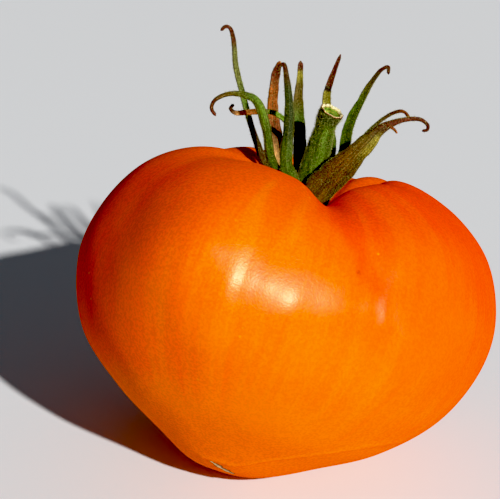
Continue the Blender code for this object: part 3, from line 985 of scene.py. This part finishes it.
SEPALS = (
    Sepal("tall_left", 125.0, (
        (-4.4, 1.6, 2.8, 3.0), (-7.6, 4.0, 6.8, 2.0), (-12.2, 7.0, 9.2, 1.8), (-15.5, 9.0, 13.3, 1.7),
        (-18.6, 10.0, 17.7, 1.5), (-22.3, 10.0, 23.5, 1.5), (-25.4, 9.0, 28.6, 1.4),
        (-27.4, 8.0, 33.5, 1.2), (-29.0, 7.0, 36.2, 0.9), (-30.3, 6.2, 36.4, 0.8), (-31.0, 5.5, 35.1, 0.7),
    # Painted shade: the dark stretch low on this blade, umber to char, stands in for its shadow.
    ), ((0.0, Tone.OLIVE), (0.2, Tone.UMBER), (0.38, Tone.CHAR), (0.46, Tone.LEAF), (0.56, Tone.SAGE),
        (0.66, Tone.SAGE), (0.71, Tone.RUSSET), (1.0, Tone.RUSSET))),
    Sepal("arched_left", 232.0, (
        (-3.7, -2.6, 2.9, 3.0), (-7.6, -6.0, 6.1, 2.7), (-11.1, -8.5, 9.6, 2.5), (-13.7, -9.5, 15.0, 2.4),
        (-17.3, -10.0, 20.2, 2.1), (-20.4, -10.0, 21.3, 1.5), (-24.2, -9.5, 20.5, 1.1),
        (-26.7, -9.0, 18.4, 0.9), (-27.0, -8.5, 16.3, 0.8), (-25.6, -8.0, 15.0, 0.7),
    ), ((0.0, Tone.OLIVE), (0.15, Tone.LEAF), (0.34, Tone.LEAF), (0.42, Tone.FRESH), (0.52, Tone.LEAF),
        (0.66, Tone.OLIVE), (0.76, Tone.UMBER), (0.82, Tone.RUSSET), (1.0, Tone.RUSSET))),
    Sepal("curled_left", 150.0, (
        (-3.6, 3.0, 2.8, 2.4), (-6.4, 4.4, 7.0, 2.0), (-7.4, 4.6, 12.6, 1.6), (-8.9, 3.2, 18.2, 1.3),
        (-12.9, -0.5, 20.1, 1.1), (-16.5, -1.5, 19.5, 1.3), (-19.5, -2.0, 18.3, 1.3),
        (-21.8, -2.3, 17.4, 1.0), (-23.1, -2.8, 17.9, 0.8), (-22.7, -3.5, 19.0, 0.7),
    ), ((0.0, Tone.LEAF), (0.38, Tone.FRESH), (0.47, Tone.FRESH), (0.55, Tone.UMBER), (0.61, Tone.RUST),
        (0.74, Tone.TAN), (0.82, Tone.UMBER), (0.9, Tone.RUSSET), (1.0, Tone.CHAR))),
    Sepal("dry_back", 110.0, (
        (-2.6, 4.0, 2.8, 3.2), (-6.2, 6.4, 8.6, 3.2), (-9.7, 8.0, 12.4, 3.1), (-12.1, 9.0, 17.1, 3.0),
        (-14.4, 9.0, 22.3, 2.6), (-15.3, 8.5, 26.1, 2.3), (-15.9, 8.0, 29.5, 2.1), (-15.8, 7.0, 32.6, 1.2),
    ), ((0.0, Tone.TAN), (0.28, Tone.TAN), (0.4, Tone.RUSSET), (0.55, Tone.RUST), (0.72, Tone.RUST),
        (0.85, Tone.RUSSET), (0.95, Tone.RUSSET), (1.0, Tone.RUST))),
    Sepal("front_left", 262.0, (
        (-2.0, -4.1, 2.9, 3.8), (-5.4, -8.0, 6.7, 3.5), (-7.2, -9.5, 9.2, 3.0), (-8.3, -10.0, 13.2, 2.6),
        (-9.4, -9.7, 18.1, 2.3), (-11.0, -9.0, 23.2, 1.9), (-13.0, -8.0, 27.9, 1.3),
        (-14.4, -7.2, 30.6, 1.0), (-15.3, -6.8, 30.0, 0.8), (-15.0, -6.5, 28.8, 0.7),
    ), ((0.0, Tone.STRAW), (0.12, Tone.LEAF), (0.3, Tone.LEAF), (0.4, Tone.DEEP), (0.6, Tone.DEEP),
        (0.68, Tone.UMBER), (0.78, Tone.RUSSET), (1.0, Tone.UMBER))),
    Sepal("blunt_back", 95.0, (
        (-0.6, 4.9, 2.8, 3.2), (-3.6, 6.6, 9.9, 3.3), (-5.5, 7.5, 15.5, 3.1), (-7.3, 8.0, 20.8, 2.6),
        (-9.0, 7.5, 25.3, 2.3), (-10.0, 7.0, 29.6, 1.6), (-11.2, 6.2, 34.0, 1.1),
    # Painted shadow: the deep green lower part, up to 0.4, stands in for the shadow cast on it.
    ), ((0.0, Tone.DEEP), (0.4, Tone.DEEP), (0.52, Tone.LEAF), (0.68, Tone.OLIVE), (0.79, Tone.OLIVE),
        (0.87, Tone.STRAW), (0.91, Tone.STRAW), (0.94, Tone.RUSSET), (1.0, Tone.RUSSET))),
    Sepal("spiked_back", 80.0, (
        (1.4, 4.6, 2.8, 3.2), (1.9, 7.0, 12.6, 3.3), (1.6, 8.5, 16.5, 3.1), (0.1, 9.0, 21.0, 2.7),
        (-2.0, 9.0, 25.7, 2.3), (-3.0, 8.5, 29.0, 1.8), (-3.1, 8.0, 32.4, 1.4), (-2.8, 7.0, 38.4, 0.7),
    ), ((0.0, Tone.LEAF), (0.5, Tone.LEAF), (0.6, Tone.STRAW), (0.72, Tone.STRAW), (0.745, Tone.CHAR),
        (0.775, Tone.CHAR), (0.81, Tone.RUSSET), (1.0, Tone.RUSSET))),
    Sepal("hooked_right", 50.0, (
        (3.0, 3.0, 2.8, 3.2), (4.5, 5.0, 12.1, 3.0), (5.0, 7.0, 17.0, 3.0), (4.4, 8.0, 21.9, 2.9),
        (4.5, 8.0, 25.8, 2.6), (5.1, 7.5, 29.2, 2.1), (5.7, 7.0, 32.8, 1.6), (6.4, 6.5, 35.4, 1.2),
        (7.3, 6.0, 37.7, 0.9), (8.6, 5.5, 38.8, 0.8), (9.1, 5.0, 37.2, 0.7),
    ), ((0.0, Tone.DEEP), (0.2, Tone.LEAF), (0.5, Tone.LEAF), (0.64, Tone.OLIVE), (0.76, Tone.UMBER),
        (0.84, Tone.RUSSET), (1.0, Tone.RUSSET))),
    Sepal("thin_right", 20.0, (
        (3.9, 0.6, 2.8, 2.4), (5.2, 0.2, 11.3, 1.6), (6.8, 1.0, 17.5, 1.2), (8.4, 2.0, 22.3, 1.1),
        (10.3, 2.5, 25.7, 1.0), (12.0, 2.5, 27.9, 0.9), (13.7, 2.0, 29.3, 0.8), (15.2, 1.5, 29.6, 0.7),
        (16.6, 1.0, 28.6, 0.7),
    ), ((0.0, Tone.DEEP), (0.38, Tone.DEEP), (0.48, Tone.OLIVE), (0.58, Tone.UMBER), (0.7, Tone.RUSSET),
        (1.0, Tone.RUST))),
    Sepal("broad_front", 275.0, (
        (0.9, -4.8, 2.8, 5.4), (1.8, -6.8, 6.6, 6.6), (3.6, -9.5, 10.0, 6.6), (5.6, -11.5, 13.5, 5.6),
        (7.1, -12.5, 16.6, 4.6), (8.7, -13.0, 19.6, 3.8), (10.1, -13.0, 22.5, 2.6), (12.2, -12.5, 24.8, 1.6),
        (14.9, -12.0, 26.7, 1.1), (17.9, -11.5, 27.8, 0.9), (20.0, -11.0, 27.3, 0.8),
        (20.4, -10.7, 26.2, 0.7), (19.4, -10.5, 25.6, 0.7),
    ), ((0.0, Tone.BRONZE), (0.2, Tone.BRONZE), (0.42, Tone.OLIVE), (0.5, Tone.UMBER), (0.58, Tone.RUSSET),
        (1.0, Tone.RUSSET)),
        ((0.0, Tone.BRONZE), (0.18, Tone.BRONZE), (0.30, Tone.OLIVE), (0.38, Tone.STRAW), (0.46, Tone.STRAW),
         (0.52, Tone.UMBER), (0.60, Tone.RUSSET), (1.0, Tone.RUSSET)), rib=-0.22),
    Sepal("spur", 275.0, (
        (11.2, -12.9, 24.4, 1.0), (12.3, -12.9, 24.1, 0.7), (13.3, -12.9, 23.8, 0.6),
        (14.1, -12.9, 23.2, 0.4),
    ), ((0.0, Tone.RUSSET), (1.0, Tone.RUST)), thickness=(0.6, 0.35)),
)


@dataclass
class Calyx:
    """The star of sepals on the small cone that seats it in the pit."""

    pit_floor: float = 61.5
    seat_centre: Pair = (-0.6, 0.0)
    seat_outline: tuple = (
        (2.0, 1.2), (3.4, 1.75), (4.7, 2.45), (5.3, 3.0), (5.2, 3.3), (4.2, 3.36), (2.0, 3.38),
    )
    seat_flutes: int = 10
    seat_flute_depth: float = 0.025
    seat_around: int = 60
    seat_fuzz: float = 0.4
    sepals: tuple[Sepal, ...] = SEPALS
    stations: int = 116
    around: int = 28
    cup: float = 0.16
    edge_power: float = 0.62
    # How much of the last turning a blade keeps from one station to the next.
    carry: float = 0.12
    # The last share of a blade narrows, and this is the square of the width left at its end.
    tip_share: float = 0.02
    tip_width: float = 0.15
    tip_reach: float = 0.12
    thin_span: Span = (0.0, 0.5)
    # The edges wave at two paces, in radians along the blade.
    wave: float = 0.035
    wave_paces: Pair = (38.0, 83.0)
    quick_wave: float = 0.6
    rib_half_width: float = 0.13
    nerve_height: float = 0.05
    nerve_pace: float = 13.0
    curl_height: float = 0.07
    curl_pace: float = 27.0
    # A blade goes from plain to ribbed as its width goes through this span, in millimetres.
    ribbed_span: Span = (0.9, 2.5)
    # Far tones take over as the place across the blade, 0 in its middle, goes through this span.
    far_span: Span = (0.05, 0.35)
    fuzz_loss: float = 0.75
    fuzz_span: Span = (0.6, 0.8)
    grain: float = 0.03
    seed: int = 7

    def frames(self, sepal: Sepal, centres: Array) -> tuple[Array, Array]:
        """The directions across and out of a blade, carried along without a flip.

        Args:
            sepal: The sepal.
            centres: The middle of the blade at each station.
        Returns:
            Directions across the blade, and directions out of its outer face.
        """
        face = math.radians(sepal.outer_face)
        outward = np.array([math.cos(face), math.sin(face), 0.0])
        along = unit(np.gradient(centres, axis=0))
        across = np.empty_like(along)
        carried = unit(np.cross(along[0], outward))
        for i, ahead in enumerate(along):
            wanted = np.cross(ahead, outward)
            wanted *= 1.0 if wanted @ carried >= 0 else -1.0
            mixed = wanted + self.carry * carried
            carried = unit(mixed - (mixed @ ahead) * ahead)
            across[i] = carried
        return across, np.cross(across, along)

    def add_blade(self, shell: Shell, sepal: Sepal, rng: np.random.Generator) -> None:
        """Lofts one sepal with its rib, waves and grainy skin.

        Args:
            shell: The mesh to add it to.
            sepal: The sepal.
            rng: Where its small irregularities come from.
        """
        shares = np.linspace(0.0, 1.0, self.stations)
        path = catmull_rom(open_curve(sepal.route), shares)
        centres, widths = path[:, :3], path[:, 3]
        across, normal = self.frames(sepal, centres)
        place, face = np.cos(turns(self.around)), -np.sin(turns(self.around))
        phase = rng.uniform(0.0, 2 * math.pi, 4)
        s = shares[:, None]
        even = np.ones((self.stations, self.around))

        taper = np.sqrt(np.clip((1.0 - s) / self.tip_share, self.tip_width, 1.0))
        slow, quick = self.wave_paces
        waves = np.sin(slow * s + phase[0])
        waves = waves + self.quick_wave * np.sin(quick * s + phase[1] + place)
        width = widths[:, None] * taper * (1.0 + self.wave * waves)
        root, tip = sepal.thickness
        thick = (root + (tip - root) * through(s, self.thin_span)) * taper
        lift = np.sign(face) * thick / 2 * np.abs(face) ** self.edge_power
        lift = lift - self.cup * width * place ** 2
        plain, ribbed = self.ribbed_span
        broad = np.clip((widths[:, None] - plain) / (ribbed - plain), 0.0, 1.0)
        lift = lift + sepal.rib * swell(place / self.rib_half_width) * (face > 0) * broad
        lift = lift + self.nerve_height * broad * np.cos(self.nerve_pace * place + phase[2])
        curl = place ** 3 * np.sin(self.curl_pace * s + phase[3])
        lift = lift + self.curl_height * broad * curl
        lift = lift + rng.uniform(-self.grain, self.grain, lift.shape)
        rings = (
            centres[:, None] + across[:, None] * (place * width / 2)[..., None]
            + normal[:, None] * lift[..., None]
        )
        rings[..., 2] += self.pit_floor
        tone = blend_tones(sepal.tones, s * even)
        if sepal.far_tones:
            share = through(place * even, self.far_span)[..., None]
            tone = tone + (blend_tones(sepal.far_tones, s * even) - tone) * share
        fuzz = (1.0 - self.fuzz_loss * through(s, self.fuzz_span)) * even
        ahead = unit(centres[-1] - centres[-2]) * self.tip_reach
        shell.add(
            rings, rings[0].mean(0), rings[-1].mean(0) + ahead, tone=tone,
            blade=np.stack([place * even, s * even, face * even], -1), fuzz=fuzz[..., None],
        )

    def add_seat(self, shell: Shell) -> None:
        """Adds the small fluted cone under the sepals."""
        turn = turns(self.seat_around)
        radius, up = (np.array(values)[:, None] for values in zip(*self.seat_outline))
        radius = radius * (1.0 + self.seat_flute_depth * np.cos(self.seat_flutes * turn))
        centre = np.array([*self.seat_centre, self.pit_floor])
        rings = np.stack([radius * np.cos(turn), radius * np.sin(turn), up + 0.0 * turn], -1) + centre
        low, high = (centre + (0.0, 0.0, self.seat_outline[end][1]) for end in (0, -1))
        even = np.ones(rings.shape[:2])
        shell.add(
            rings, low, high,
            tone=blend_tones(((0.0, Tone.DEEP), (1.0, Tone.LEAF)), even * 0.6),
            blade=np.stack([0.5 * even, 0.0 * even, even], -1), fuzz=self.seat_fuzz * even[..., None],
        )

    def build(self, spine: Spine, finish: LeafFinish) -> bpy.types.Object:
        """Makes the calyx.

        Args:
            spine: The fruit's frame.
            finish: The sepals' finish.
        Returns:
            The object.
        """
        rng = np.random.default_rng(self.seed)
        shell = Shell()
        self.add_seat(shell)
        for sepal in self.sepals:
            self.add_blade(shell, sepal, rng)
        made = shell.build("calyx_sepals", spine)
        made.data.materials.append(finish.material())
        return made


@dataclass
class Stalk:
    """The stub of fruit stalk: ribbed, narrowing, then flared to its cupped cut end."""

    pit_floor: float = 61.5
    route: Route = (
        (-0.7, 0.0, 3.6, 3.1), (-0.7, 0.0, 5.0, 3.1), (-0.8, -0.6, 8.0, 3.2), (-1.1, -2.2, 12.4, 2.9),
        (-1.3, -4.4, 16.3, 2.6), (-1.4, -6.2, 19.9, 2.2), (-1.4, -7.2, 21.9, 2.5),
        (-1.0, -8.3, 23.8, 2.75),
    )
    stations: int = 120
    around: int = 84
    ribs: int = 5
    rib_height: float = 0.10
    rib_twist: float = 1.1
    rib_span: Span = (0.97, 0.67)
    # Painted shade: the ribs' ridges are painted lighter and their grooves darker.
    rib_shade: float = 0.18
    lump_height: float = 0.05
    lump_waves: tuple = ((11, 31, 0.0), (3, 26, 0.0))
    streaks: float = 9.0
    grain: float = 0.045
    # The cut end, ring by ring: how far inside the outer edge, how far past the cut, and the tone.
    cut: tuple = (
        (0.02, 0.10, Tone.UMBER), (0.12, 0.20, Tone.RUST), (0.26, 0.24, Tone.CREAM),
        (0.45, 0.16, Tone.CREAM), (0.62, -0.02, Tone.CREAM), (0.72, -0.22, Tone.STRAW),
        (0.80, -0.50, Tone.FRESH), (0.95, -0.68, Tone.LEAF), (1.20, -0.64, Tone.FRESH),
        (1.50, -0.58, Tone.FRESH), (1.80, -0.62, Tone.STRAW), (2.10, -0.66, Tone.FRESH),
        (2.40, -0.72, Tone.LEAF),
    )
    # The cut is jagged, torn a little all over, and pitted in its pith, past one inset.
    # Each jag is (height, number round, phase), and the rim's waves turn with the inset.
    jags: tuple = ((0.07, 7, 0.4), (0.05, 15, 0.0))
    rim_wave: float = 0.04
    rim_waves: int = 9
    rim_turn: float = 6.0
    tear: float = 0.05
    pit: float = 0.16
    pith_inset: float = 0.9
    tones: tuple = (
        (0.0, Tone.DEEP), (0.12, Tone.LEAF), (0.8, Tone.LEAF), (0.9, Tone.DEEP), (1.0, Tone.DEEP),
    )
    seed: int = 21

    def build(self, spine: Spine, finish: LeafFinish) -> bpy.types.Object:
        """Makes the stalk.

        Args:
            spine: The fruit's frame.
            finish: The stalk's finish.
        Returns:
            The object.
        """
        rng = np.random.default_rng(self.seed)
        shares = np.linspace(0.0, 1.0, self.stations)
        path = catmull_rom(open_curve(self.route), shares)
        centres, radii = path[:, :3], path[:, 3]
        along = unit(np.gradient(centres, axis=0))
        side = unit(np.array([1.0, 0.0, 0.0]) - along * along[:, :1])
        other = np.cross(along, side)
        turn = turns(self.around)
        s = shares[:, None]
        ribs = np.cos(self.ribs * turn + self.rib_twist * s)
        lumps = self.lump_height * ripples(turn, s, self.lump_waves)
        radius = radii[:, None] + self.rib_height * ribs * through(s, self.rib_span) + lumps
        radius = radius + rng.uniform(-self.grain, self.grain, radius.shape)
        outward = side[:, None] * np.cos(turn)[..., None] + other[:, None] * np.sin(turn)[..., None]
        body = centres[:, None] + outward * radius[..., None]

        inset, past = (np.array([row[i] for row in self.cut])[:, None] for i in (0, 1))
        jagged = sum(height * np.sin(n * turn + phase) for height, n, phase in self.jags)
        jagged = jagged + rng.uniform(-self.tear, self.tear, inset.shape)
        pitted = rng.uniform(-self.pit, self.pit, (len(self.cut), self.around))
        past = past + jagged + pitted * (inset > self.pith_inset)
        rim = self.rim_wave * np.sin(self.rim_waves * turn + self.rim_turn * inset)
        edge = radius[-1:] - inset + rim
        end = centres[-1] + outward[-1] * edge[..., None] + along[-1] * past[..., None]
        rings = np.concatenate([body, end])
        rings[..., 2] += self.pit_floor

        tone = np.concatenate([
            blend_tones(self.tones, s * np.ones_like(turn)),
            np.array([row[2].value for row in self.cut])[:, None] * np.ones((1, self.around, 1)),
        ])
        # Painted shade on the ribs: lighter on the ridges, darker in the grooves.
        tone[:self.stations] *= (1.0 + self.rib_shade * ribs)[..., None]
        rows = len(rings)
        even = np.ones((rows, self.around))
        fuzz = even * (np.arange(rows) < self.stations - 1)[:, None]
        shell = Shell()
        up = np.arange(rows)[:, None] / rows
        shell.add(
            rings, rings[0].mean(0), rings[-1].mean(0), tone=tone,
            blade=np.stack([0.5 * even, up * even, self.streaks * np.cos(turn) * even], -1),
            fuzz=fuzz[..., None],
        )
        made = shell.build("fruit_stalk", spine)
        made.data.materials.append(finish.material())
        return made


@dataclass
class HairCoat:
    """Short glandular hairs all over a green piece."""

    # Hairs to a square millimetre, and their even length and radius in millimetres.
    density: float = 13.0
    length: float = 0.42
    radius: float = 0.028
    lean: float = 0.55
    # The size of the smallest and the largest hairs, as parts of the even one.
    spread: Pair = (0.5, 1.25)
    seed: int = 3

    def tree(self, dressed: bpy.types.Material) -> bpy.types.NodeTree:
        """Builds the node tree that scatters the hairs.

        Args:
            dressed: The hairs' material.
        Returns:
            A geometry node tree with density, length, radius, lean and seed as named inputs.
        """
        tree = bpy.data.node_groups.new("hair_coat", "GeometryNodeTree")
        sockets = tree.interface
        sockets.new_socket("Skin", in_out="INPUT", socket_type="NodeSocketGeometry")
        for name in ("Density", "Length", "Radius", "Lean"):
            sockets.new_socket(name, in_out="INPUT", socket_type="NodeSocketFloat")
        sockets.new_socket("Seed", in_out="INPUT", socket_type="NodeSocketInt")
        sockets.new_socket("Hairs", in_out="OUTPUT", socket_type="NodeSocketGeometry")

        def node(kind: str, inputs: dict, **settings: object) -> bpy.types.Node:
            """Adds a node with its inputs set or linked."""
            made = tree.nodes.new(kind)
            for name, value in settings.items():
                setattr(made, name, value)
            for key, value in inputs.items():
                if isinstance(value, bpy.types.NodeSocket):
                    tree.links.new(value, made.inputs[key])
                else:
                    made.inputs[key].default_value = value
            return made

        given = tree.nodes.new("NodeGroupInput").outputs
        fuzz = node("GeometryNodeInputNamedAttribute", {"Name": "fuzz"}, data_type="FLOAT")
        thick = node("ShaderNodeMath", {
            0: given["Density"], 1: fuzz.outputs["Attribute"],
        }, operation="MULTIPLY")
        spots = node("GeometryNodeDistributePointsOnFaces", {
            "Mesh": given["Skin"], "Density": thick.outputs[0], "Seed": given["Seed"],
        })
        tilt = node("FunctionNodeRandomValue", {
            0: (-1.0, -1.0, -1.0), 1: (1.0, 1.0, 1.0), "Seed": given["Seed"],
        }, data_type="FLOAT_VECTOR")
        tilt = node("ShaderNodeVectorMath", {
            0: tilt.outputs[0], "Scale": given["Lean"],
        }, operation="SCALE")
        turned = node("FunctionNodeRotateRotation", {
            0: spots.outputs["Rotation"], 1: tilt.outputs[0],
        }, rotation_space="LOCAL")
        smallest, largest = self.spread
        size = node("FunctionNodeRandomValue", {
            2: smallest, 3: largest, "Seed": given["Seed"],
        }, data_type="FLOAT")
        hair = node("GeometryNodeMeshCone", {
            "Vertices": 3, "Radius Top": 0.0, "Radius Bottom": given["Radius"], "Depth": given["Length"],
        }, fill_type="NGON")
        planted = node("GeometryNodeInstanceOnPoints", {
            "Points": spots.outputs["Points"], "Instance": hair.outputs["Mesh"],
            "Rotation": turned.outputs[0], "Scale": size.outputs[1],
        })
        real = node("GeometryNodeRealizeInstances", {"Geometry": planted.outputs[0]})
        done = node("GeometryNodeSetMaterial", {"Geometry": real.outputs[0], "Material": dressed})
        leave = tree.nodes.new("NodeGroupOutput")
        tree.links.new(done.outputs[0], leave.inputs["Hairs"])
        return tree

    def grow(self, host: bpy.types.Object, name: str, dressed: bpy.types.Material) -> bpy.types.Object:
        """Grows the hairs on a piece, as a plain mesh of their own.

        Args:
            host: The piece that carries them.
            name: The name of the new piece.
            dressed: The hairs' material.
        Returns:
            The object.
        """
        tree = self.tree(dressed)
        sizes = {
            "Density": self.density / MM ** 2, "Length": self.length * MM, "Radius": self.radius * MM,
            "Lean": self.lean, "Seed": self.seed,
        }
        made = stand(name, host.data)
        coat = made.modifiers.new("hair coat", "NODES")
        coat.node_group = tree
        for item in tree.interface.items_tree:
            if item.name in sizes:
                coat[item.identifier] = sizes[item.name]
        bpy.context.view_layer.update()
        graph = bpy.context.evaluated_depsgraph_get()
        plain = bpy.data.meshes.new_from_object(made.evaluated_get(graph))
        made.modifiers.remove(coat)
        made.data = plain
        plain.name = name
        return made


@dataclass
class Studio:
    """A plain pale floor, one key light, a weak fill that fades to one side, and the camera."""

    floor_size: float = 14.0
    floor_gap: float = 0.0001
    key_direction: Triple = (0.79, -1.41, 1.0)
    key_strength: float = 4.5
    key_width: float = 1.8
    key_colour: Colour = (1.0, 0.965, 0.91)
    fill_colour: Colour = (0.86, 0.93, 1.0)
    # The fill is strongest from one side and fades to nothing on the far side.
    fill_direction: Triple = (0.75, -0.15, 0.65)
    fill_strength: float = 0.18
    fill_reach: float = -0.3
    # The camera's own response: what it shows as black and as white, and how it rolls off below white.
    black_level: float = 0.03
    white_level: float = 1.6
    response: tuple = (
        (0.247, 0.40), (0.371, 0.5955), (0.4635, 0.728), (0.556, 0.835), (0.649, 0.905),
        (0.7725, 0.952), (1.0, 0.985),
    )
    camera_target: Triple = (-0.0082, 0.0012, 0.0515)
    camera_distance: float = 0.400
    camera_elevation: float = 24.0
    picture_width: float = 500.0
    focal_length: float = 1768.0
    sensor_width: float = 36.0

    def lay_floor(self, finish: FloorFinish) -> bpy.types.Object:
        """Lays the floor just under the fruit.

        Args:
            finish: The floor's finish.
        Returns:
            The object.
        """
        half = self.floor_size / 2
        square = ((-half, -half), (half, -half), (half, half), (-half, half))
        corners = [(x, y, -self.floor_gap) for x, y in square]
        mesh = bpy.data.meshes.new("floor")
        mesh.from_pydata(corners, [], [(0, 1, 2, 3)])
        mesh.materials.append(finish.material())
        floor = stand("floor", mesh)
        return floor

    def light(self) -> None:
        """Sets up the key light and the fill."""
        lamp = bpy.data.lights.new("key", "SUN")
        lamp.energy = self.key_strength
        lamp.angle = math.radians(self.key_width)
        lamp.color = self.key_colour
        key = stand("key", lamp)
        key.rotation_euler = Vector(self.key_direction).to_track_quat("Z", "Y").to_euler()
        world = bpy.data.worlds.new("fill")
        world.use_nodes = True
        tree = world.node_tree
        background = tree.nodes["Background"]
        background.inputs["Color"].default_value = (*self.fill_colour, 1.0)
        facing = tree.nodes.new("ShaderNodeVectorMath")
        facing.operation = "DOT_PRODUCT"
        facing.inputs[1].default_value = Vector(self.fill_direction).normalized()
        tree.links.new(tree.nodes.new("ShaderNodeTexCoord").outputs["Generated"], facing.inputs[0])
        fade = tree.nodes.new("ShaderNodeMapRange")
        fade.inputs["From Min"].default_value = self.fill_reach
        fade.inputs["To Min"].default_value = 0.0
        fade.inputs["To Max"].default_value = self.fill_strength
        tree.links.new(facing.outputs["Value"], fade.inputs["Value"])
        tree.links.new(fade.outputs["Result"], background.inputs["Strength"])
        bpy.context.scene.world = world

    def set_camera(self) -> None:
        """Stands the camera where the picture was taken from."""
        elevation = math.radians(self.camera_elevation)
        lens = bpy.data.cameras.new("camera")
        lens.sensor_width = self.sensor_width
        lens.lens = self.focal_length / self.picture_width * self.sensor_width
        camera = stand("camera", lens)
        back = Vector((0.0, -math.cos(elevation), math.sin(elevation)))
        camera.location = Vector(self.camera_target) + back * self.camera_distance
        camera.rotation_euler = (math.pi / 2 - elevation, 0.0, 0.0)
        bpy.context.scene.camera = camera
        view = bpy.context.scene.view_settings
        view.view_transform = "Standard"
        view.use_curve_mapping = True
        view.curve_mapping.black_level = (self.black_level,) * 3
        view.curve_mapping.white_level = (self.white_level,) * 3
        curve = view.curve_mapping.curves[3]
        curve.points[-1].location = self.response[-1]
        for place in self.response[:-1]:
            curve.points.new(*place)
        view.curve_mapping.update()


def hand_over(piece: bpy.types.Object, node: str | None = None) -> None:
    """Gives a finished piece to the frame.

    Args:
        piece: The piece.
        node: The construction's node that it stands for, if it does.
    """
    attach(piece, ROOT)
    if node:
        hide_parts(node)
    log.info("%s: %d faces, %s", piece.name, len(piece.data.polygons), node or "added")


def main() -> None:
    """Builds the fruit, its scar, its calyx and its stalk, then the floor, lights and camera."""
    logging.basicConfig(level=logging.INFO, format="%(name)s: %(message)s")
    spine = Spine()
    fruit = Fruit()
    hand_over(fruit.build(spine, SkinFinish()), "fruit")
    hand_over(BlossomScar().build(spine, fruit, ScarFinish()))

    hairs = HairFinish().material()
    calyx = Calyx().build(spine, LeafFinish("sepal_leaf"))
    hand_over(HairCoat().grow(calyx, "calyx_hairs", hairs))
    hand_over(calyx, "calyx")
    stalk = Stalk().build(spine, LeafFinish("stalk_green", contrast=1.1))
    hand_over(HairCoat(density=15.0, length=0.5, seed=5).grow(stalk, "stalk_hairs", hairs))
    hand_over(stalk, "stalk")

    studio = Studio()
    studio.lay_floor(FloorFinish())
    studio.light()
    studio.set_camera()


if __name__ == "__main__":
    main()
